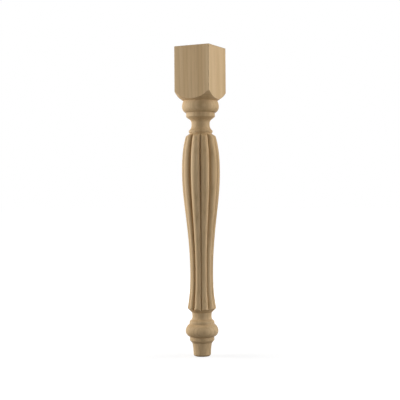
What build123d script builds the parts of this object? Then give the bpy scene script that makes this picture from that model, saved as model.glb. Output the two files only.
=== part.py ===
"""Wooden table leg, turned, reeded and cut from one square blank.

From the top it has a square block that takes the table's rails, a rounded shoulder that
cuts the block's corners, a bead, a flat fillet and a hollow neck. Below them hangs a vase
body of ten reeds. A second neck, a ring, a large bead, a collar and a tapered foot
follow. All of it is one piece of wood.

Millimetres. The middle of the foot's underside is the origin, +Z is up, and the faces of
the block look along X and Y. The turned members are stacked from the floor up and from the
top down, and the reeded body takes the height that is left between them.
"""
import os
from math import cos, radians, sin, sqrt, tan

from build123d import *

# Overall
height = 725.0
blank_width = 90.0

# Block and its rounded shoulder
block_height = 126.2
block_arris = 0.8
shoulder_ball_radius = 80.0

# Bead and fillet under the block
upper_bead_height = 27.4
upper_bead_drop = 13.8
upper_bead_radius = 43.4
upper_bead_top_radius = 40.0
upper_bead_foot_radius = 36.0
fillet_height = 10.2
fillet_radius = 33.8

# Upper neck, and the ring and quirk that seat it on the body
upper_neck_height = 31.4
upper_neck_radius = 21.4
upper_neck_foot_radius = 27.0
upper_neck_foot_rise = 12.4
upper_neck_flare_angle = 53.0
upper_neck_flare_radius = 11.0
upper_ring_height = 4.8
upper_ring_radius = 28.1
upper_ring_edge = 0.9
upper_quirk_height = 3.4
upper_quirk_radius = 26.4

# Reeds of the vase body
reed_count = 10
groove_ratio = 0.8
groove_turn_angle = 5.3

# Outline of the vase body over the crests of its reeds
body_top_radius = 35.6
belly_radius = 44.1
belly_drop = 84.8
breast_radius = 43.6
breast_drop = 112.8
flank_radius = 34.9
flank_rise = 213.0
waist_radius = 26.9
waist_rise = 97.0
flare_radius = 33.1
top_lean_angle = 20.0
flare_lean_angle = 14.0

# Turned ends of the vase body
top_cone_angle = 56.0
underside_angle = 46.0
envelope_radius = 54.0
run_out = 6.0
end_share = 0.042
span_count = 8

# Lower neck and its ring
lower_neck_height = 15.8
lower_neck_rise = 6.4
lower_neck_radius = 22.6
lower_neck_top_radius = 23.4
lower_neck_foot_radius = 23.8
lower_ring_height = 11.2
lower_ring_radius = 29.3
lower_ring_slope_angle = 50.0
lower_ring_rounding = 6.0

# Large bead and the collar under it
lower_bead_height = 29.8
lower_bead_rise = 13.5
lower_bead_radius = 38.4
lower_bead_foot_radius = 28.0
collar_height = 14.6
collar_slope_height = 6.4
collar_quirk_height = 1.8
collar_radius = 28.8

# Foot
foot_height = 31.2
foot_top_radius = 23.1
foot_tip_radius = 20.5
foot_edge_radius = 5.5

# Levels, from the floor up to the body
collar_z = foot_height
lower_bead_z = collar_z + collar_height
lower_ring_z = lower_bead_z + lower_bead_height
lower_neck_z = lower_ring_z + lower_ring_height
body_base_z = lower_neck_z + lower_neck_height
ring_slope_run = lower_ring_radius - lower_neck_foot_radius
ring_slope_z = lower_neck_z - ring_slope_run / tan(radians(lower_ring_slope_angle))

# Levels, from the top down to the body
shoulder_z = height - block_height
fillet_z = shoulder_z - upper_bead_height
upper_neck_z = fillet_z - fillet_height
upper_ring_z = upper_neck_z - upper_neck_height
upper_quirk_z = upper_ring_z - upper_ring_height
body_top_z = upper_quirk_z - upper_quirk_height
shoulder_ball_z = shoulder_z + sqrt(shoulder_ball_radius**2 - upper_bead_top_radius**2)
neck_flare_z = upper_neck_z - (fillet_radius - upper_neck_radius) / tan(radians(upper_neck_flare_angle))

# Levels of the vase body
underside_z = body_base_z + (flare_radius - lower_neck_top_radius) / tan(radians(underside_angle))
top_edge_z = body_top_z - (body_top_radius - upper_quirk_radius) / tan(radians(top_cone_angle))
envelope_base_z = body_base_z + (envelope_radius - lower_neck_top_radius) / tan(radians(underside_angle))
envelope_top_z = body_top_z - (envelope_radius - upper_quirk_radius) / tan(radians(top_cone_angle))
waist_z = body_base_z + waist_rise
belly_z = body_top_z - belly_drop


def polar_point(radius, angle):
    """Return the point at this distance from the axis and this angle in degrees."""
    return (radius * cos(radians(angle)), radius * sin(radians(angle)))


def reed_arcs(crest):
    """Draw one closed ring of reeds, each an arc from groove to groove over its crest."""
    pitch = 360 / reed_count
    groove = crest * groove_ratio
    for reed in range(reed_count):
        start = groove_turn_angle + reed * pitch
        ThreePointArc(
            polar_point(groove, start),
            polar_point(crest, start + pitch / 2),
            polar_point(groove, start + pitch),
        )


def swell(foot, middle, top):
    """Draw a bead or a neck from its foot over its widest or narrowest point to its top."""
    TangentArc(middle, foot, tangent=(0, -1))
    TangentArc(middle, top, tangent=(0, 1))


# Block: a square prism whose lower corners are turned away to the rounded shoulder
with BuildPart() as block:
    with BuildSketch(Plane.XY.offset(shoulder_z)):
        Rectangle(blank_width, blank_width)
    extrude(amount=block_height)
    chamfer(block.edges().filter_by(Axis.Z) + block.faces().sort_by(Axis.Z)[-1].edges(), block_arris)
    with BuildSketch(Plane.XZ):
        with BuildLine():
            shoulder_foot = (upper_bead_top_radius, shoulder_z)
            ball_side = (shoulder_ball_radius, shoulder_ball_z)
            TangentArc(ball_side, shoulder_foot, tangent=(0, -1))
            Polyline(ball_side, (shoulder_ball_radius, height), (0, height), (0, shoulder_z), shoulder_foot)
        make_face()
    revolve(axis=Axis.Z, mode=Mode.INTERSECT)

# Vase line: the outline over the reeds' crests, run on past both ends of the body
with BuildLine(Plane.XZ) as vase:
    flare_end_z = body_base_z - run_out
    top_end_z = body_top_z + run_out
    Spline(
        (flare_radius + (underside_z - flare_end_z) * tan(radians(flare_lean_angle)), flare_end_z),
        (waist_radius, waist_z),
        (flank_radius, body_base_z + flank_rise),
        (breast_radius, body_top_z - breast_drop),
        (belly_radius, belly_z),
        (body_top_radius - (top_end_z - top_edge_z) * tan(radians(top_lean_angle)), top_end_z),
        tangents=[polar_point(1, 90 + flare_lean_angle), polar_point(1, 90 + top_lean_angle)],
    )

# Body: a loft through reed sections along the vase line, with both ends turned to shape
with BuildPart() as body:
    middle_shares = [end_share + (1 - 2 * end_share) * span / span_count for span in range(span_count + 1)]
    for share in [0, *middle_shares, 1]:
        place = vase.edge() @ share
        with BuildSketch(Plane.XY.offset(place.Z)):
            with BuildLine():
                reed_arcs(place.X)
            make_face()
    loft(ruled=True)
    with BuildSketch(Plane.XZ):
        with BuildLine():
            Polyline(
                (lower_neck_top_radius, body_base_z),
                (envelope_radius, envelope_base_z),
                (envelope_radius, envelope_top_z),
                (upper_quirk_radius, body_top_z),
                (0, body_top_z),
                (0, body_base_z),
                close=True,
            )
        make_face()
    revolve(axis=Axis.Z, mode=Mode.INTERSECT)

# Leg: the turned members above and below the body, fused with the body and the block
with BuildPart() as leg:
    # Foot, collar, large bead, ring and lower neck
    with BuildSketch(Plane.XZ):
        with BuildLine():
            collar_foot = (foot_top_radius, collar_z)
            collar_top = (lower_bead_foot_radius, lower_bead_z)
            foot_edge = JernArc((foot_tip_radius - foot_edge_radius, 0), (1, 0), foot_edge_radius, 90)
            TangentArc(foot_edge @ 1, collar_foot, tangent=(0, 1))
            Polyline(
                collar_foot,
                (collar_radius, collar_z + collar_slope_height),
                (collar_radius, lower_bead_z - collar_quirk_height),
                collar_top,
            )
            swell(
                collar_top,
                (lower_bead_radius, lower_bead_z + lower_bead_rise),
                (lower_ring_radius, lower_ring_z),
            )
            FilletPolyline(
                (lower_ring_radius, lower_ring_z),
                (lower_ring_radius, ring_slope_z),
                (lower_neck_foot_radius, lower_neck_z),
                radius=lower_ring_rounding,
            )
            swell(
                (lower_neck_foot_radius, lower_neck_z),
                (lower_neck_radius, lower_neck_z + lower_neck_rise),
                (lower_neck_top_radius, body_base_z),
            )
            Polyline((lower_neck_top_radius, body_base_z), (0, body_base_z), (0, 0), foot_edge @ 0)
        make_face()
    # Quirk, ring, upper neck, fillet and bead
    with BuildSketch(Plane.XZ):
        with BuildLine():
            Polyline(
                (0, body_top_z),
                (upper_quirk_radius, body_top_z),
                (upper_quirk_radius, upper_quirk_z - upper_ring_edge),
                (upper_ring_radius, upper_quirk_z),
                (upper_ring_radius, upper_ring_z - upper_ring_edge),
                (upper_neck_foot_radius, upper_ring_z),
            )
            neck_foot_end = (upper_neck_radius, upper_ring_z + upper_neck_foot_rise)
            TangentArc(neck_foot_end, (upper_neck_foot_radius, upper_ring_z), tangent=(0, -1))
            FilletPolyline(
                neck_foot_end,
                (upper_neck_radius, neck_flare_z),
                (fillet_radius, upper_neck_z),
                radius=upper_neck_flare_radius,
            )
            Polyline(
                (fillet_radius, upper_neck_z),
                (fillet_radius, fillet_z),
                (upper_bead_foot_radius, fillet_z),
            )
            swell(
                (upper_bead_foot_radius, fillet_z),
                (upper_bead_radius, shoulder_z - upper_bead_drop),
                (upper_bead_top_radius, shoulder_z),
            )
            Polyline((upper_bead_top_radius, shoulder_z), (0, shoulder_z), (0, body_top_z))
        make_face()
    revolve(axis=Axis.Z)
    add(body.part)
    add(block.part)

leg.part.label = "leg"
os.makedirs("parts", exist_ok=True)
export_step(leg.part, "parts/leg.step")
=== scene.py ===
from math import atan, cos, pi, radians, sin, sqrt, tan

import bpy
import numpy as np
from mathutils import Euler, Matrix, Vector


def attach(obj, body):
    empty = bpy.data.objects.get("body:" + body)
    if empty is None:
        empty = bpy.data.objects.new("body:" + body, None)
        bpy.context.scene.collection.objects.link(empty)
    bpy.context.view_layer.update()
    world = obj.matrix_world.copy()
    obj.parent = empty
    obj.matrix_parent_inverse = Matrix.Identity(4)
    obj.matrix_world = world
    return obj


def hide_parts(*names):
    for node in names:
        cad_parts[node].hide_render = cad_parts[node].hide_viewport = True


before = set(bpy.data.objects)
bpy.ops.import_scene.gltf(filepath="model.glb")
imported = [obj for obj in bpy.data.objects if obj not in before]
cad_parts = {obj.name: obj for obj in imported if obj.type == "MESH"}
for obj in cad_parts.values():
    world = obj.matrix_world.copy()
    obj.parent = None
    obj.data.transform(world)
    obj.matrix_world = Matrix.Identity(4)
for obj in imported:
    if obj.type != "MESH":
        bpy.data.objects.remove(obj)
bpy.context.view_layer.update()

# Sizes of the leg in millimetres and degrees. Those of the turned members are the solid's own.
MM = 0.001
HEIGHT = 725.0

# Foot and collar
FOOT_HEIGHT = 31.2
FOOT_TIP_RADIUS = 20.5
FOOT_TOP_RADIUS = 23.1
FOOT_EDGE_RADIUS = 5.5
COLLAR_HEIGHT = 14.6
COLLAR_RADIUS = 28.8
COLLAR_SLOPE_HEIGHT = 6.4
COLLAR_QUIRK_HEIGHT = 1.8

# Large bead, ring and lower neck
LOWER_BEAD_HEIGHT = 29.8
LOWER_BEAD_RISE = 13.5
LOWER_BEAD_RADIUS = 38.4
LOWER_BEAD_FOOT_RADIUS = 28.0
LOWER_RING_HEIGHT = 11.2
LOWER_RING_RADIUS = 29.3
LOWER_RING_SLOPE_ANGLE = 50
LOWER_RING_ROUNDING = 6.0
LOWER_NECK_HEIGHT = 15.8
LOWER_NECK_RISE = 6.4
LOWER_NECK_RADIUS = 22.6
LOWER_NECK_FOOT_RADIUS = 23.8
LOWER_NECK_TOP_RADIUS = 23.4

# Quirk, ring and upper neck
QUIRK_HEIGHT = 3.4
QUIRK_RADIUS = 26.4
UPPER_RING_HEIGHT = 4.8
UPPER_RING_RADIUS = 28.1
UPPER_RING_EDGE = 0.9
UPPER_NECK_HEIGHT = 31.4
UPPER_NECK_RADIUS = 21.4
UPPER_NECK_FOOT_RADIUS = 27.0
UPPER_NECK_FOOT_RISE = 12.4
UPPER_NECK_FLARE_ANGLE = 53
UPPER_NECK_FLARE_RADIUS = 11.0

# Fillet, upper bead and block. The block's upright arrises are rounded here and chamfered in the solid.
FILLET_HEIGHT = 10.2
FILLET_RADIUS = 33.8
UPPER_BEAD_HEIGHT = 27.4
UPPER_BEAD_DROP = 13.8
UPPER_BEAD_RADIUS = 43.4
UPPER_BEAD_FOOT_RADIUS = 36.0
SHOULDER_FOOT_RADIUS = 40.0
SHOULDER_BALL_RADIUS = 80.0
BLOCK_HEIGHT = 126.2
HALF_BLOCK = 45.0
BLOCK_ROUNDING = 0.9
BLOCK_CHAMFER = 0.8

# Levels, from the floor up to the body
COLLAR_Z = FOOT_HEIGHT
LOWER_BEAD_Z = COLLAR_Z + COLLAR_HEIGHT
LOWER_RING_Z = LOWER_BEAD_Z + LOWER_BEAD_HEIGHT
LOWER_NECK_Z = LOWER_RING_Z + LOWER_RING_HEIGHT
BODY_BASE_Z = LOWER_NECK_Z + LOWER_NECK_HEIGHT

# Levels, from the top down to the body
SHOULDER_Z = HEIGHT - BLOCK_HEIGHT
FILLET_Z = SHOULDER_Z - UPPER_BEAD_HEIGHT
UPPER_NECK_Z = FILLET_Z - FILLET_HEIGHT
UPPER_RING_Z = UPPER_NECK_Z - UPPER_NECK_HEIGHT
QUIRK_Z = UPPER_RING_Z - UPPER_RING_HEIGHT
BODY_TOP_Z = QUIRK_Z - QUIRK_HEIGHT
SHOULDER_BALL_Z = SHOULDER_Z + sqrt(SHOULDER_BALL_RADIUS**2 - SHOULDER_FOOT_RADIUS**2)

# Vase body: height and radius of the line over its reeds' crests, and how that line leans at its ends.
# The line is smooth and follows the photograph. The solid is straight between its stations and slimmer
# at the belly, so this body stands up to 1.4 mm outside it above and up to 0.7 mm inside it below.
VASE_LINE = (
    (BODY_BASE_Z - 6.0, 37.2),
    (BODY_BASE_Z + 97.0, 26.9),
    (BODY_BASE_Z + 213.0, 34.9),
    (BODY_TOP_Z - 112.8, 44.1),
    (BODY_TOP_Z - 84.8, 44.6),
    (BODY_TOP_Z + 5.2, 31.5),
)
FLARE_LEAN = -14
TOP_LEAN = -20
UNDERSIDE_ANGLE = 46
TOP_CONE_ANGLE = 56
REEDS = 10
PITCH = 2 * pi / REEDS
GROOVE_RATIO = 0.8
GROOVE_TURN = 5.3

# Fineness of the mesh
STEPS_PER_REED = 24
ARRIS_STEPS = (-1.6, -1.0, -0.6, -0.2, 0.2, 0.6, 1.0, 1.6)
BODY_ROWS = 90
SHOULDER_ROWS = 14
TOP_INNER_RADIUS = 20

# An edge that turns by more than SHARP_TURN degrees is softened, from SOFT_EDGE millimetres on each side
SHARP_TURN = 14
SOFT_EDGE = 0.45

# The wood: its colours, and the place of its pith and the spacing of its growth rings in metres
WOOD_DARK = (0.566, 0.387, 0.200)
WOOD_MIDDLE = (0.633, 0.445, 0.244)
WOOD_PALE = (0.685, 0.496, 0.284)
PITH = (-0.18, 0.24, 0.0)
RING_PITCH = 0.0052
RING_TAPER = 0.02
RING_WOBBLE = 2.2
WOOD_SPECULAR = 0.2
BUMP_HEIGHT = 0.0002

# The studio, in metres: a wide floor that pales to white, a weak fill and the background
FLOOR_SIDE = 30.0
FLOOR_Z = -0.0003
FLOOR_BOUNCE = 0.27
FLOOR_NEAR = 0.79
FLOOR_FADE = 1.2
FILL_STRENGTH = 0.02
WHITE_STRENGTH = 1.0

# Lamps: azimuth from the camera, distance and height, width and height of the panel, and watts
LAMPS = {
    "left_soft": (-94, 1.8, 0.6, (1.2, 1.6), 41.0),
    "left_high": (-90, 1.2, 2.0, (1.2, 1.2), 6.8),
    "right_soft": (95, 1.8, 0.6, (0.9, 1.6), 12.4),
    "right_high": (90, 1.2, 2.0, (1.2, 1.2), 13.8),
    "front_right": (45, 1.8, 0.6, (0.9, 1.6), 13.4),
    "back_soft": (180, 1.8, 0.6, (1.2, 1.6), 14.0),
}
LAMP_TARGET = (0, 0, 0.36)

# The photograph's camera, in metres, degrees and pixels of a square image
CAMERA_AZIMUTH = 26.87
CAMERA_DISTANCE = 2.3138
CAMERA_HEIGHT = 0.3684
CAMERA_ROLL = -0.425
FOCAL_PIXELS = 984.6
IMAGE_SIDE = 400
AXIS_OFFSET = 1.12
HORIZON_OFFSET = 0.9
SENSOR = 36.0


def tangent_arc(start, end, heading, steps):
    """Points of the arc that leaves start along heading and ends at end, start left out."""
    chord = (end[0] - start[0], end[1] - start[1])
    length = sqrt(chord[0] ** 2 + chord[1] ** 2)
    size = sqrt(heading[0] ** 2 + heading[1] ** 2)
    ux, uz = heading[0] / size, heading[1] / size
    half = np.arctan2(ux * chord[1] - uz * chord[0], ux * chord[0] + uz * chord[1])
    points = []
    for i in range(1, steps + 1):
        turn = half * i / steps
        reach = length * sin(turn) / sin(half)
        points.append((start[0] + reach * (ux * cos(turn) - uz * sin(turn)),
                       start[1] + reach * (ux * sin(turn) + uz * cos(turn))))
    return points


def swell(foot, middle, top, steps):
    """A bead or a neck from its foot over its widest or narrowest point to its top, foot left out."""
    lower = tangent_arc(middle, foot, (0, -1), steps)
    upper = tangent_arc(middle, top, (0, 1), steps)
    return lower[::-1][1:] + [middle] + upper


def rounded(before, corner, after, radius, steps):
    """Points of the rounding of one corner between two straight runs."""
    a = np.subtract(before, corner)
    b = np.subtract(after, corner)
    a = a / np.hypot(*a)
    b = b / np.hypot(*b)
    half = np.arccos(np.clip(a @ b, -1, 1)) / 2
    trim = radius / tan(half)
    start = np.add(corner, a * trim)
    end = np.add(corner, b * trim)
    return [tuple(start)] + tangent_arc(tuple(start), tuple(end), tuple(-a), steps)


def vase_line(z):
    """Radius over the reeds' crests at these heights, on a smooth cubic line through the vase's points."""
    zs, rs = np.array(VASE_LINE).T
    n = len(zs)
    h = np.diff(zs)
    slope = np.diff(rs) / h
    system = np.zeros((n, n))
    right = np.zeros(n)
    system[0, 0] = system[-1, -1] = 1
    right[0] = tan(radians(FLARE_LEAN))
    right[-1] = tan(radians(TOP_LEAN))
    for i in range(1, n - 1):
        system[i, i - 1] = h[i]
        system[i, i] = 2 * (h[i - 1] + h[i])
        system[i, i + 1] = h[i - 1]
        right[i] = 3 * (h[i] * slope[i - 1] + h[i - 1] * slope[i])
    lean = np.linalg.solve(system, right)
    i = np.clip(np.searchsorted(zs, z) - 1, 0, n - 2)
    t = (z - zs[i]) / h[i]
    return ((2 * t**3 - 3 * t**2 + 1) * rs[i] + (t**3 - 2 * t**2 + t) * h[i] * lean[i]
            + (3 * t**2 - 2 * t**3) * rs[i + 1] + (t**3 - t**2) * h[i] * lean[i + 1])


def reed_section(angles):
    """Radius of the reeded section for a crest radius of one: arcs from groove to groove."""
    off = (angles - radians(GROOVE_TURN)) % PITCH - PITCH / 2
    centre = (GROOVE_RATIO**2 - 1) / (2 * (GROOVE_RATIO * cos(PITCH / 2) - 1))
    return centre * np.cos(off) + np.sqrt((1 - centre) ** 2 - (centre * np.sin(off)) ** 2)


def square_section(angles):
    """Radius of the block's square section with rounded arrises."""
    c, s = np.abs(np.cos(angles)), np.abs(np.sin(angles))
    flat = HALF_BLOCK / np.maximum(c, s)
    inner = HALF_BLOCK - BLOCK_ROUNDING
    along = (c + s) * inner
    inside = BLOCK_ROUNDING**2 - 2 * inner**2 + along**2
    corner = along + np.sqrt(np.maximum(inside, 0))
    return np.where(flat * np.minimum(c, s) > inner, corner, flat)


def column_angles():
    """Angles of the mesh's columns: closer at the grooves, with more at the block's arrises."""
    share = np.linspace(-1, 1, STEPS_PER_REED + 1)[:-1]
    in_reed = (1.5 * share - 0.5 * share**3 + 1) / 2 * PITCH
    angles = [radians(GROOVE_TURN) + reed * PITCH + a for reed in range(REEDS) for a in in_reed]
    half_arris = atan(HALF_BLOCK / (HALF_BLOCK - BLOCK_ROUNDING)) - pi / 4
    for quarter in range(4):
        corner = pi / 4 + quarter * pi / 2
        angles += [corner + step * half_arris for step in ARRIS_STEPS]
    return np.sort(np.array(angles) % (2 * pi))


def lower_profile():
    """Turned outline from the foot's underside up to the body."""
    edge_start = (FOOT_TIP_RADIUS - FOOT_EDGE_RADIUS, 0.0)
    edge_end = (FOOT_TIP_RADIUS, FOOT_EDGE_RADIUS)
    bead_foot = (LOWER_BEAD_FOOT_RADIUS, LOWER_BEAD_Z)
    ring_foot = (LOWER_RING_RADIUS, LOWER_RING_Z)
    neck_foot = (LOWER_NECK_FOOT_RADIUS, LOWER_NECK_Z)
    ring_run = LOWER_RING_RADIUS - LOWER_NECK_FOOT_RADIUS
    ring_edge = (LOWER_RING_RADIUS, LOWER_NECK_Z - ring_run / tan(radians(LOWER_RING_SLOPE_ANGLE)))
    points = [(0.0, 0.0), edge_start]
    points += tangent_arc(edge_start, edge_end, (1, 0), steps=6)
    points += tangent_arc(edge_end, (FOOT_TOP_RADIUS, COLLAR_Z), (0, 1), steps=5)
    points.append((COLLAR_RADIUS, COLLAR_Z + COLLAR_SLOPE_HEIGHT))
    points.append((COLLAR_RADIUS, LOWER_BEAD_Z - COLLAR_QUIRK_HEIGHT))
    points.append(bead_foot)
    points += swell(bead_foot, (LOWER_BEAD_RADIUS, LOWER_BEAD_Z + LOWER_BEAD_RISE), ring_foot, steps=14)
    points += rounded(ring_foot, ring_edge, neck_foot, LOWER_RING_ROUNDING, steps=6)
    points.append(neck_foot)
    neck_middle = (LOWER_NECK_RADIUS, LOWER_NECK_Z + LOWER_NECK_RISE)
    points += swell(neck_foot, neck_middle, (LOWER_NECK_TOP_RADIUS, BODY_BASE_Z), steps=5)
    return points


def upper_profile():
    """Turned outline from the body's top up to the block's shoulder."""
    neck_foot = (UPPER_NECK_FOOT_RADIUS, UPPER_RING_Z)
    neck_foot_end = (UPPER_NECK_RADIUS, UPPER_RING_Z + UPPER_NECK_FOOT_RISE)
    flare_run = FILLET_RADIUS - UPPER_NECK_RADIUS
    flare_z = UPPER_NECK_Z - flare_run / tan(radians(UPPER_NECK_FLARE_ANGLE))
    flare_start = (UPPER_NECK_RADIUS, flare_z)
    flare_end = (FILLET_RADIUS, UPPER_NECK_Z)
    bead_foot = (UPPER_BEAD_FOOT_RADIUS, FILLET_Z)
    points = [(QUIRK_RADIUS, BODY_TOP_Z), (QUIRK_RADIUS, QUIRK_Z - UPPER_RING_EDGE)]
    points.append((UPPER_RING_RADIUS, QUIRK_Z))
    points.append((UPPER_RING_RADIUS, UPPER_RING_Z - UPPER_RING_EDGE))
    points.append(neck_foot)
    points += tangent_arc(neck_foot_end, neck_foot, (0, -1), steps=8)[::-1][1:]
    points.append(neck_foot_end)
    points += rounded(neck_foot_end, flare_start, flare_end, UPPER_NECK_FLARE_RADIUS, steps=6)
    points += [flare_end, (FILLET_RADIUS, FILLET_Z), bead_foot]
    bead_middle = (UPPER_BEAD_RADIUS, SHOULDER_Z - UPPER_BEAD_DROP)
    points += swell(bead_foot, bead_middle, (SHOULDER_FOOT_RADIUS, SHOULDER_Z), steps=14)
    return points


def body_crossings(section):
    """Heights at which each column of the reeds meets the turned slopes at the body's ends."""
    depth = 20
    low = np.full_like(section, BODY_BASE_Z)
    high = np.full_like(section, BODY_BASE_Z + depth)
    top_low = np.full_like(section, BODY_TOP_Z - depth)
    top_high = np.full_like(section, BODY_TOP_Z)
    for _ in range(40):
        z = (low + high) / 2
        underside = LOWER_NECK_TOP_RADIUS + (z - BODY_BASE_Z) * tan(radians(UNDERSIDE_ANGLE))
        inside = underside < vase_line(z) * section
        low, high = np.where(inside, z, low), np.where(inside, high, z)
        z = (top_low + top_high) / 2
        cone = QUIRK_RADIUS + (BODY_TOP_Z - z) * tan(radians(TOP_CONE_ANGLE))
        inside = cone < vase_line(z) * section
        top_high, top_low = np.where(inside, z, top_high), np.where(inside, top_low, z)
    return low, top_low


def leg_rows(angles):
    """Every row of the mesh from floor to top, as one radius and one height for each column."""
    section = reed_section(angles)
    square = square_section(angles)
    flat = np.ones_like(angles)
    rows = [(flat * r, flat * z) for r, z in lower_profile()]
    base, top = body_crossings(section)
    for i in range(BODY_ROWS + 1):
        z = base + (top - base) * i / BODY_ROWS
        rows.append((vase_line(z) * section, z))
    rows += [(flat * r, flat * z) for r, z in upper_profile()]
    for i in range(1, SHOULDER_ROWS + 1):
        r = SHOULDER_FOOT_RADIUS + (square - SHOULDER_FOOT_RADIUS) * i / SHOULDER_ROWS
        rows.append((r, SHOULDER_BALL_Z - np.sqrt(SHOULDER_BALL_RADIUS**2 - r**2)))
    rows.append((square, flat * (HEIGHT - BLOCK_CHAMFER)))
    rows.append((square - BLOCK_CHAMFER, flat * HEIGHT))
    rows.append((flat * TOP_INNER_RADIUS, flat * HEIGHT))
    rows.append((flat * 0, flat * HEIGHT))
    return rows


def soften(rows, trim):
    """Round the sharp corners along every column a little, with a close row on either side."""
    out = [rows[0]]
    for before, here, after in zip(rows, rows[1:], rows[2:]):
        a = np.array([before[0] - here[0], before[1] - here[1]])
        b = np.array([after[0] - here[0], after[1] - here[1]])
        la, lb = np.hypot(*a), np.hypot(*b)
        turn = np.degrees(np.arccos(np.clip(-(a * b).sum(0) / np.maximum(la * lb, 1e-9), -1, 1)))
        if turn.max() < SHARP_TURN:
            out.append(here)
            continue
        cut_a = np.minimum(trim, la * 0.4) / np.maximum(la, 1e-9)
        cut_b = np.minimum(trim, lb * 0.4) / np.maximum(lb, 1e-9)
        start, middle, end = here + a * cut_a, np.array(here), here + b * cut_b
        out.append(tuple(here + a * cut_a * 2))
        for t in (0, 0.33, 0.67, 1):
            out.append(tuple((1 - t) ** 2 * start + 2 * t * (1 - t) * middle + t**2 * end))
        out.append(tuple(here + b * cut_b * 2))
    out.append(rows[-1])
    return out


def build_leg():
    """The leg as one closed, finely rounded mesh."""
    angles = column_angles()
    rows = soften(leg_rows(angles), SOFT_EDGE)
    n, ca, sa = len(angles), np.cos(angles), np.sin(angles)
    verts = [(0, 0, 0)]
    for r, z in rows[1:-1]:
        verts += list(zip(r * ca * MM, r * sa * MM, z * MM))
    verts.append((0, 0, HEIGHT * MM))
    last = len(rows) - 3
    faces = [(0, 1 + (j + 1) % n, 1 + j) for j in range(n)]
    for i in range(last):
        a, b = 1 + i * n, 1 + (i + 1) * n
        faces += [(a + j, a + (j + 1) % n, b + (j + 1) % n, b + j) for j in range(n)]
    top = 1 + last * n
    faces += [(top + j, top + (j + 1) % n, len(verts) - 1) for j in range(n)]
    mesh = bpy.data.meshes.new("turned_leg")
    mesh.from_pydata(verts, [], faces)
    mesh.shade_smooth()
    leg = bpy.data.objects.new("turned_leg", mesh)
    bpy.context.collection.objects.link(leg)
    return leg


class Nodes:
    """Short calls for building the node tree of one material or world."""

    def __init__(self, owner):
        owner.use_nodes = True
        self.tree = owner.node_tree
        self.tree.nodes.clear()

    def connect(self, socket, value):
        """Link an input to a socket, or set it to a plain value."""
        if isinstance(value, bpy.types.NodeSocket):
            self.tree.links.new(value, socket)
        else:
            socket.default_value = value

    def add(self, kind, inputs=None, **settings):
        """Add a node, with these settings and inputs."""
        node = self.tree.nodes.new(kind)
        for key, value in settings.items():
            setattr(node, key, value)
        for key, value in (inputs or {}).items():
            self.connect(node.inputs[key], value)
        return node

    def finish(self, kind, shader):
        """Send a shader to the tree's output."""
        self.add(kind, inputs={"Surface": shader})

    def mapped(self, source, scale):
        """The same coordinates scaled along each axis."""
        return self.add("ShaderNodeMapping", inputs={"Vector": source, "Scale": scale}).outputs["Vector"]

    def noise(self, source, scale, detail, roughness=0.5):
        """A noise value from 0 to 1."""
        inputs = {"Vector": source, "Scale": scale, "Detail": detail, "Roughness": roughness}
        return self.add("ShaderNodeTexNoise", inputs=inputs).outputs["Fac"]

    def ramp(self, value, stops):
        """Colours set along a value from 0 to 1."""
        node = self.add("ShaderNodeValToRGB", inputs={"Fac": value})
        elements = node.color_ramp.elements
        while len(elements) < len(stops):
            elements.new(0.5)
        for element, (place, colour) in zip(elements, stops):
            element.position = place
            element.color = (*colour, 1)
        return node.outputs["Color"]

    def multiply_colour(self, factor, a, b):
        """One colour darkened or lightened by another, by this share."""
        node = self.add("ShaderNodeMix", data_type="RGBA", blend_type="MULTIPLY")
        for socket, value in ((node.inputs[0], factor), (node.inputs[6], a), (node.inputs[7], b)):
            self.connect(socket, value)
        return node.outputs[2]

    def math(self, operation, a, b=0.0):
        """Two values taken together, or one value changed."""
        return self.add("ShaderNodeMath", operation=operation, inputs={0: a, 1: b}).outputs[0]


def grey(value):
    """One grey as a colour."""
    return (value, value, value)


def drawn_out(n, place, share):
    """Coordinates that change more slowly along the leg, which draws a texture out along the grain."""
    return n.mapped(place, (1, 1, share))


def growth_rings(n, place):
    """Slow bands from 0 to 1 across the wood, each ending in a short dark late-wood line."""
    wobble = n.noise(drawn_out(n, place, 0.15), scale=16, detail=2)
    ends = {0: drawn_out(n, place, RING_TAPER), 1: PITH}
    reach = n.add("ShaderNodeVectorMath", operation="DISTANCE", inputs=ends).outputs["Value"]
    rings = n.math("DIVIDE", reach, RING_PITCH)
    return n.math("FRACT", n.math("ADD", rings, n.math("MULTIPLY", wobble, RING_WOBBLE)))


def end_grain(n, normal):
    """One where the surface looks up or down the grain, and nothing where it runs along it."""
    across = n.add("ShaderNodeSeparateXYZ", inputs={0: normal}).outputs["Z"]
    return n.ramp(n.math("ABSOLUTE", across), [(0.35, grey(0.0)), (0.95, grey(1.0))])


def turning_marks(n, place):
    """Fine level marks of the turning tool, on the turned members only."""
    marks = n.noise(n.mapped(place, (0.02, 0.02, 1)), scale=1500, detail=2)
    height = n.add("ShaderNodeSeparateXYZ", inputs={0: place}).outputs["Z"]
    below_body = n.math("LESS_THAN", height, BODY_BASE_Z * MM)
    above_body = n.math("GREATER_THAN", height, BODY_TOP_Z * MM)
    under_block = n.math("LESS_THAN", height, SHOULDER_Z * MM)
    turned = n.math("MAXIMUM", below_body, n.math("MULTIPLY", above_body, under_block))
    return n.math("MULTIPLY", marks, turned)


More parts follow.
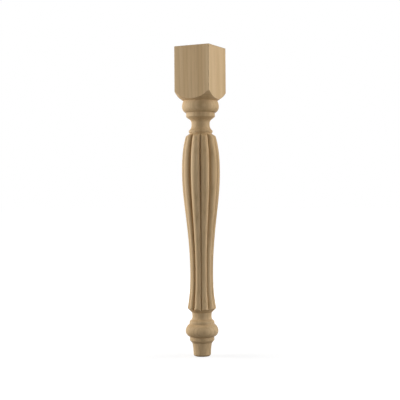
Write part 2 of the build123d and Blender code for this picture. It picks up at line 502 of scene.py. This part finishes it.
def wood_material():
    """Pale, plain-sawn hardwood, sanded and unfinished, with its grain along the leg, painted shade in its
    crevices and painted highlights on its sharp edges.
    """
    material = bpy.data.materials.new("leg_wood")
    n = Nodes(material)
    coords = n.add("ShaderNodeTexCoord").outputs
    place = coords["Object"]
    broad = n.noise(drawn_out(n, place, 0.08), scale=38, detail=3)
    streak = n.noise(drawn_out(n, place, 0.04), scale=300, detail=4, roughness=0.6)
    fibre = n.noise(drawn_out(n, place, 0.02), scale=1500, detail=3, roughness=0.6)
    pores = n.noise(drawn_out(n, place, 0.05), scale=2600, detail=1)
    # Pointiness drives painted shade in the crevices and a painted highlight on the sharp edges
    crevice_shade_and_edge_highlight = n.add("ShaderNodeNewGeometry").outputs["Pointiness"]

    # Each layer: a value, how strongly it shows, and the colours that it multiplies the wood by
    layers = (
        (growth_rings(n, place), 0.55,
         [(0.0, grey(1.0)), (0.5, grey(0.97)), (0.88, (0.82, 0.79, 0.74)), (1.0, grey(1.0))]),
        (streak, 0.9, [(0.3, grey(0.88)), (0.5, grey(0.98)), (0.7, grey(1.0))]),
        (fibre, 0.6, [(0.3, grey(0.88)), (0.55, grey(1.0))]),
        (pores, 0.5, [(0.28, (0.72, 0.66, 0.58)), (0.36, grey(1.0))]),
        (end_grain(n, coords["Normal"]), 1.0, [(0.0, grey(1.0)), (1.0, (0.88, 0.84, 0.78))]),
        # Painted shade: crevices and hollows darkened by pointiness. Painted highlight: sharp edges
        # lightened above one.
        (crevice_shade_and_edge_highlight, 1.0,
         [(0.44, (0.80, 0.76, 0.70)), (0.497, grey(1.0)), (0.53, grey(1.0)), (0.6, grey(1.12))]),
    )
    colour = n.ramp(broad, [(0.3, WOOD_DARK), (0.5, WOOD_MIDDLE), (0.7, WOOD_PALE)])
    for value, strength, stops in layers:
        colour = n.multiply_colour(strength, colour, n.ramp(value, stops))
    roughness = n.ramp(streak, [(0.3, grey(0.66)), (0.7, grey(0.54))])
    relief = n.math("ADD", fibre, n.math("MULTIPLY", turning_marks(n, place), 0.5))
    bump = n.add("ShaderNodeBump", inputs={"Strength": 0.2, "Distance": BUMP_HEIGHT, "Height": relief})
    look = {"Base Color": colour, "Roughness": roughness, "Specular IOR Level": WOOD_SPECULAR,
            "Normal": bump.outputs["Normal"]}
    shader = n.add("ShaderNodeBsdfPrincipled", inputs=look)
    n.finish("ShaderNodeOutputMaterial", shader.outputs["BSDF"])
    return material


def looked_at(n):
    """One for rays that show a surface to the viewer, also by reflection or through glass."""
    rays = n.add("ShaderNodeLightPath").outputs
    seen = n.math("MAXIMUM", rays["Is Camera Ray"], rays["Is Glossy Ray"])
    return n.math("MAXIMUM", seen, rays["Is Transmission Ray"])


def floor_material():
    """A pale floor that shows white to the camera and still takes the leg's shadow near its foot."""
    material = bpy.data.materials.new("floor_white")
    n = Nodes(material)
    place = n.add("ShaderNodeTexCoord").outputs["Object"]
    away = n.add("ShaderNodeVectorMath", operation="LENGTH", inputs={0: place}).outputs["Value"]
    white = n.ramp(n.math("DIVIDE", away, FLOOR_FADE), [(0.1, grey(FLOOR_NEAR)), (0.8, grey(1.0))])
    glow = n.add("ShaderNodeEmission", inputs={"Color": white, "Strength": looked_at(n)})
    matt = n.add("ShaderNodeBsdfDiffuse", inputs={"Color": (*grey(FLOOR_BOUNCE), 1)})
    both = n.add("ShaderNodeAddShader", inputs={0: glow.outputs[0], 1: matt.outputs[0]})
    n.finish("ShaderNodeOutputMaterial", both.outputs[0])
    return material


def set_world():
    """White behind the object, and a weak even light all round it."""
    world = bpy.data.worlds.new("studio")
    bpy.context.scene.world = world
    n = Nodes(world)
    white = (*grey(1.0), 1)
    fill = n.add("ShaderNodeBackground", inputs={"Color": white, "Strength": FILL_STRENGTH})
    behind = n.add("ShaderNodeBackground", inputs={"Color": white, "Strength": WHITE_STRENGTH})
    mixed = n.add("ShaderNodeMixShader", inputs={0: looked_at(n), 1: fill.outputs[0], 2: behind.outputs[0]})
    n.finish("ShaderNodeOutputWorld", mixed.outputs[0])


def set_floor():
    """A wide pale floor, a hair's breadth under the foot so that the two don't share a level."""
    mesh = bpy.data.meshes.new("floor")
    corners = [(FLOOR_SIDE * x, FLOOR_SIDE * y, FLOOR_Z) for x, y in ((-1, -1), (1, -1), (1, 1), (-1, 1))]
    mesh.from_pydata(corners, [], [(0, 1, 2, 3)])
    floor = bpy.data.objects.new("floor", mesh)
    bpy.context.collection.objects.link(floor)
    floor.data.materials.append(floor_material())


def around(azimuth, distance, height):
    """A point at this azimuth, counted from −y towards +x, distance from the leg's axis and height."""
    return (distance * sin(radians(azimuth)), -distance * cos(radians(azimuth)), height)


def set_lamps():
    """Soft rectangular panels round the leg, all turned to its middle."""
    for name, (azimuth, distance, height, size, power) in LAMPS.items():
        data = bpy.data.lights.new(name, "AREA")
        data.shape = "RECTANGLE"
        data.size, data.size_y = size
        data.energy = power
        lamp = bpy.data.objects.new(name, data)
        lamp.location = around(CAMERA_AZIMUTH + azimuth, distance, height)
        aim = Vector(LAMP_TARGET) - lamp.location
        lamp.rotation_euler = aim.to_track_quat("-Z", "Y").to_euler()
        bpy.context.collection.objects.link(lamp)


def set_camera():
    """The photograph's camera: level, a little turned about its view, with a long lens."""
    data = bpy.data.cameras.new("camera")
    data.sensor_width = SENSOR
    data.lens = FOCAL_PIXELS / IMAGE_SIDE * SENSOR
    data.shift_x = -AXIS_OFFSET / IMAGE_SIDE
    data.shift_y = -HORIZON_OFFSET / IMAGE_SIDE
    camera = bpy.data.objects.new("camera", data)
    camera.location = around(CAMERA_AZIMUTH, CAMERA_DISTANCE, CAMERA_HEIGHT)
    level = Euler((radians(90), 0, radians(CAMERA_AZIMUTH))).to_quaternion()
    camera.rotation_mode = "QUATERNION"
    camera.rotation_quaternion = level @ Euler((0, 0, radians(CAMERA_ROLL))).to_quaternion()
    bpy.context.collection.objects.link(camera)
    bpy.context.scene.camera = camera


leg = build_leg()
leg.data.materials.append(wood_material())
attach(leg, "root")
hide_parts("leg")

set_world()
set_floor()
set_lamps()
set_camera()
bpy.context.scene.view_settings.view_transform = "Standard"
